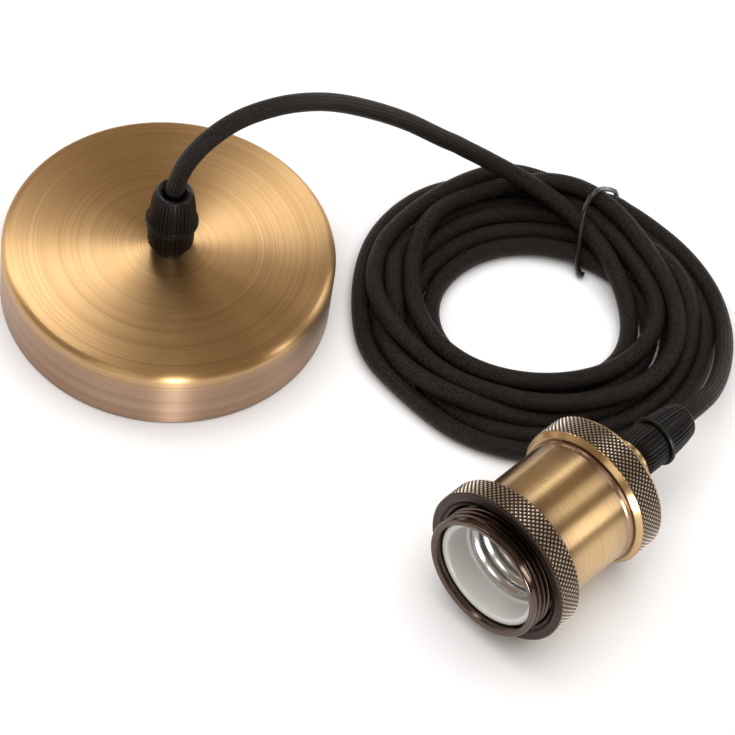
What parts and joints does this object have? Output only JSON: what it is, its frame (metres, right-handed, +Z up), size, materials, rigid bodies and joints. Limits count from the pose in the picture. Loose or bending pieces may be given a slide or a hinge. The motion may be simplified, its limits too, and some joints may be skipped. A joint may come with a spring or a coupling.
{
  "type": "pendant cord set",
  "caption": "Pendant lamp cord set: a round metal ceiling rose, a black textile cord in a tied coil, and a knurled metal lamp holder with a porcelain insert.",
  "frame": {"origin": "bottom centre of the box round the rose and the lamp holder, on the surface that they lie on", "axes": "+Z up, +Y along the lamp holder from its mouth to its cord, +X from the rose towards the lamp holder"},
  "size_m": [0.2188, 0.1813, 0.0751],
  "materials": {
    "aged_brass": "brushed, warm antique brass",
    "dark_bronze": "dark bronze plating, satin",
    "bright_brass": "bare",
    "zinc_steel": "zinc plated",
    "shell_sheet": "bright rolled sheet",
    "black_plastic": "moulded, satin",
    "white_plastic": "moulded",
    "porcelain": "smooth white porcelain",
    "black_textile": "braided textile sleeve",
    "brown_insulation": "smooth",
    "blue_insulation": "smooth",
    "green_insulation": "smooth"
  },
  "bodies": {
    "root": {"ceiling_rose": "aged_brass", "rose_gland_body": "black_plastic", "rose_gland_nut": "black_plastic", "rose_gland_clamp": "white_plastic", "rose_lock_washer": "zinc_steel", "rose_locknut": "zinc_steel", "mounting_bar": "zinc_steel", "terminal_block": "white_plastic", "block_screw": "zinc_steel", "terminal_tube_1": "bright_brass", "terminal_tube_2": "bright_brass", "terminal_tube_3": "bright_brass", "terminal_screw_1": "zinc_steel", "terminal_screw_2": "zinc_steel", "terminal_screw_3": "zinc_steel", "terminal_screw_4": "zinc_steel", "terminal_screw_5": "zinc_steel", "terminal_screw_6": "zinc_steel", "earth_washer": "bright_brass", "earth_screw": "bright_brass", "rose_wire_live": "brown_insulation", "rose_wire_neutral": "blue_insulation", "rose_wire_earth": "green_insulation", "threaded_skirt": "dark_bronze", "shade_ring": "dark_bronze", "holder_sleeve": "aged_brass", "holder_cap": "aged_brass", "porcelain_insert": "porcelain", "screw_shell": "shell_sheet", "centre_contact": "bright_brass", "side_contact": "bright_brass", "live_contact_screw": "bright_brass", "neutral_contact_screw": "bright_brass", "earth_tag": "bright_brass", "terminal_live": "bright_brass", "terminal_neutral": "bright_brass", "terminal_live_screw": "zinc_steel", "terminal_neutral_screw": "zinc_steel", "holder_wire_live": "brown_insulation", "holder_wire_neutral": "blue_insulation", "holder_wire_earth": "green_insulation", "holder_gland_body": "black_plastic", "holder_gland_nut": "black_plastic", "holder_gland_clamp": "white_plastic", "holder_lock_washer": "zinc_steel", "holder_locknut": "zinc_steel", "cord_lead": "black_textile", "cord_coil": "black_textile", "cord_tail": "black_textile", "coil_tie": "black_plastic"}
  },
  "joints": []
}
